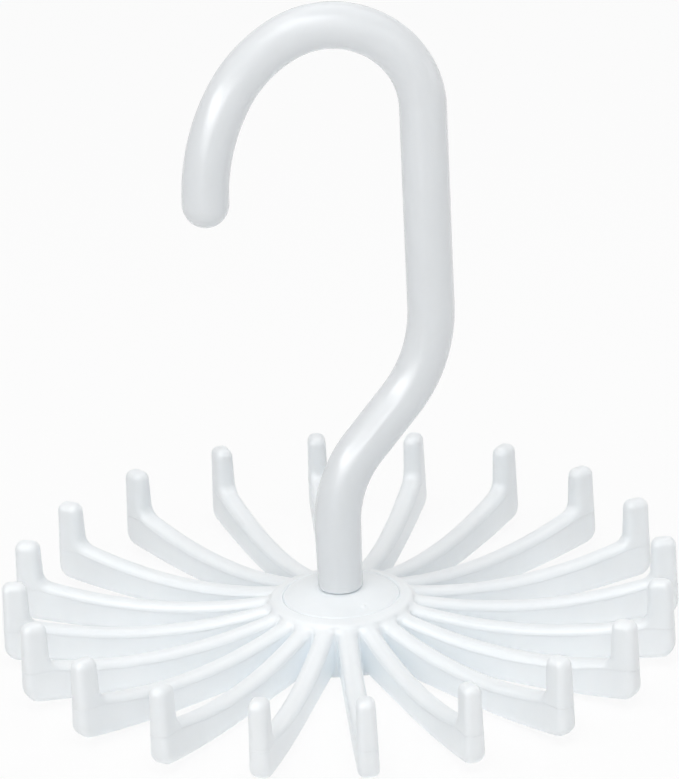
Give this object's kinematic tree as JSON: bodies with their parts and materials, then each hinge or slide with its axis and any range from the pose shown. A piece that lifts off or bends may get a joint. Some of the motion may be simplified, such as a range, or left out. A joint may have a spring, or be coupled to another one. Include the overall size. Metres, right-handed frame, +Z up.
{
  "type": "rotating tie hanger",
  "caption": "White moulded tie hanger: a round closet-rod hook turns freely on a wheel of radiating arms with upright pegs at their tips",
  "frame": {"origin": "on the swivel axis, in the plane that the rim of the hub stands on", "axes": "+Z up along the swivel axis; the hook lies in the XZ plane with its stem on the +X side and its open mouth on the -X side"},
  "size_m": [0.1294, 0.1294, 0.1299],
  "materials": {
    "wheel_plastic": "gloss moulded polypropylene",
    "bush_plastic": "gloss moulded acetal",
    "hook_plastic": "gloss moulded polypropylene",
    "washer_steel": "bright zinc plate",
    "screw_steel": "bright zinc plate"
  },
  "bodies": {
    "wheel": {"tie_wheel": "wheel_plastic", "swivel_bush": "bush_plastic"},
    "hook": {"hook": "hook_plastic", "retaining_washer": "washer_steel", "retaining_screw": "screw_steel"}
  },
  "joints": [
    {"name": "hook_swivel", "type": "hinge", "parent": "wheel", "child": "hook", "pos_m": [0, 0, 0], "axis": [0, 0, 1], "continuous": true}
  ]
}
